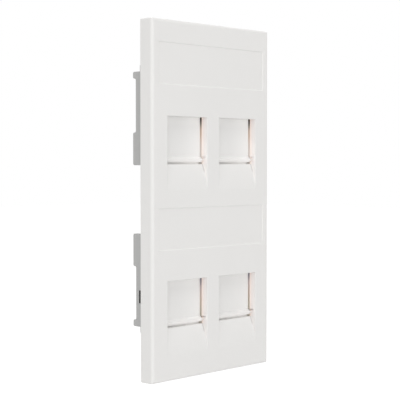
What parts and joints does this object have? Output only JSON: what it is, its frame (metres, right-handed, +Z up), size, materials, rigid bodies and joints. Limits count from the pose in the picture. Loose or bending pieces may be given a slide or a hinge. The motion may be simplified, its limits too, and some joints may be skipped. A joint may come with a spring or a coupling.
{
  "type": "keystone faceplate",
  "caption": "Tall white keystone faceplate with sliding dust shutters, label recesses and a grey snap-in mounting frame behind it.",
  "frame": {"origin": "centre of the rim's rear face, which sits on the wall plate or box", "axes": "+Z up along the plate, +Y into the wall, so the front faces -Y"},
  "size_m": [0.052, 0.0147, 0.1076],
  "materials": {
    "white_plastic": "fine satin gloss, moulded",
    "white_shutter": "fine satin gloss, moulded",
    "white_carrier": "plain moulded",
    "grey_plastic": "matt, moulded",
    "screw_steel": "bright zinc plated",
    "spring_steel": "drawn wire"
  },
  "bodies": {
    "plate": {"face_plate": "white_plastic", "mounting_frame": "grey_plastic", "upper_keystone_carrier": "white_carrier", "lower_keystone_carrier": "white_carrier", "upper_carrier_screws": "screw_steel", "lower_carrier_screws": "screw_steel", "spring_upper_left": "spring_steel", "spring_upper_right": "spring_steel", "spring_lower_left": "spring_steel", "spring_lower_right": "spring_steel"},
    "shutter_upper_left": {"shutter_upper_left": "white_shutter"},
    "shutter_upper_right": {"shutter_upper_right": "white_shutter"},
    "shutter_lower_left": {"shutter_lower_left": "white_shutter"},
    "shutter_lower_right": {"shutter_lower_right": "white_shutter"}
  },
  "joints": [
    {"name": "shutter_upper_left_slide", "type": "slide", "parent": "plate", "child": "shutter_upper_left", "axis": [0, 0, 1], "range_m": [0, 0.012], "stiffness_N_per_m": 20, "springref_m": -0.004, "deforming": ["spring_upper_left"]},
    {"name": "shutter_upper_right_slide", "type": "slide", "parent": "plate", "child": "shutter_upper_right", "axis": [0, 0, 1], "range_m": [0, 0.012], "stiffness_N_per_m": 20, "springref_m": -0.004, "deforming": ["spring_upper_right"]},
    {"name": "shutter_lower_left_slide", "type": "slide", "parent": "plate", "child": "shutter_lower_left", "axis": [0, 0, 1], "range_m": [0, 0.012], "stiffness_N_per_m": 20, "springref_m": -0.004, "deforming": ["spring_lower_left"]},
    {"name": "shutter_lower_right_slide", "type": "slide", "parent": "plate", "child": "shutter_lower_right", "axis": [0, 0, 1], "range_m": [0, 0.012], "stiffness_N_per_m": 20, "springref_m": -0.004, "deforming": ["spring_lower_right"]}
  ]
}
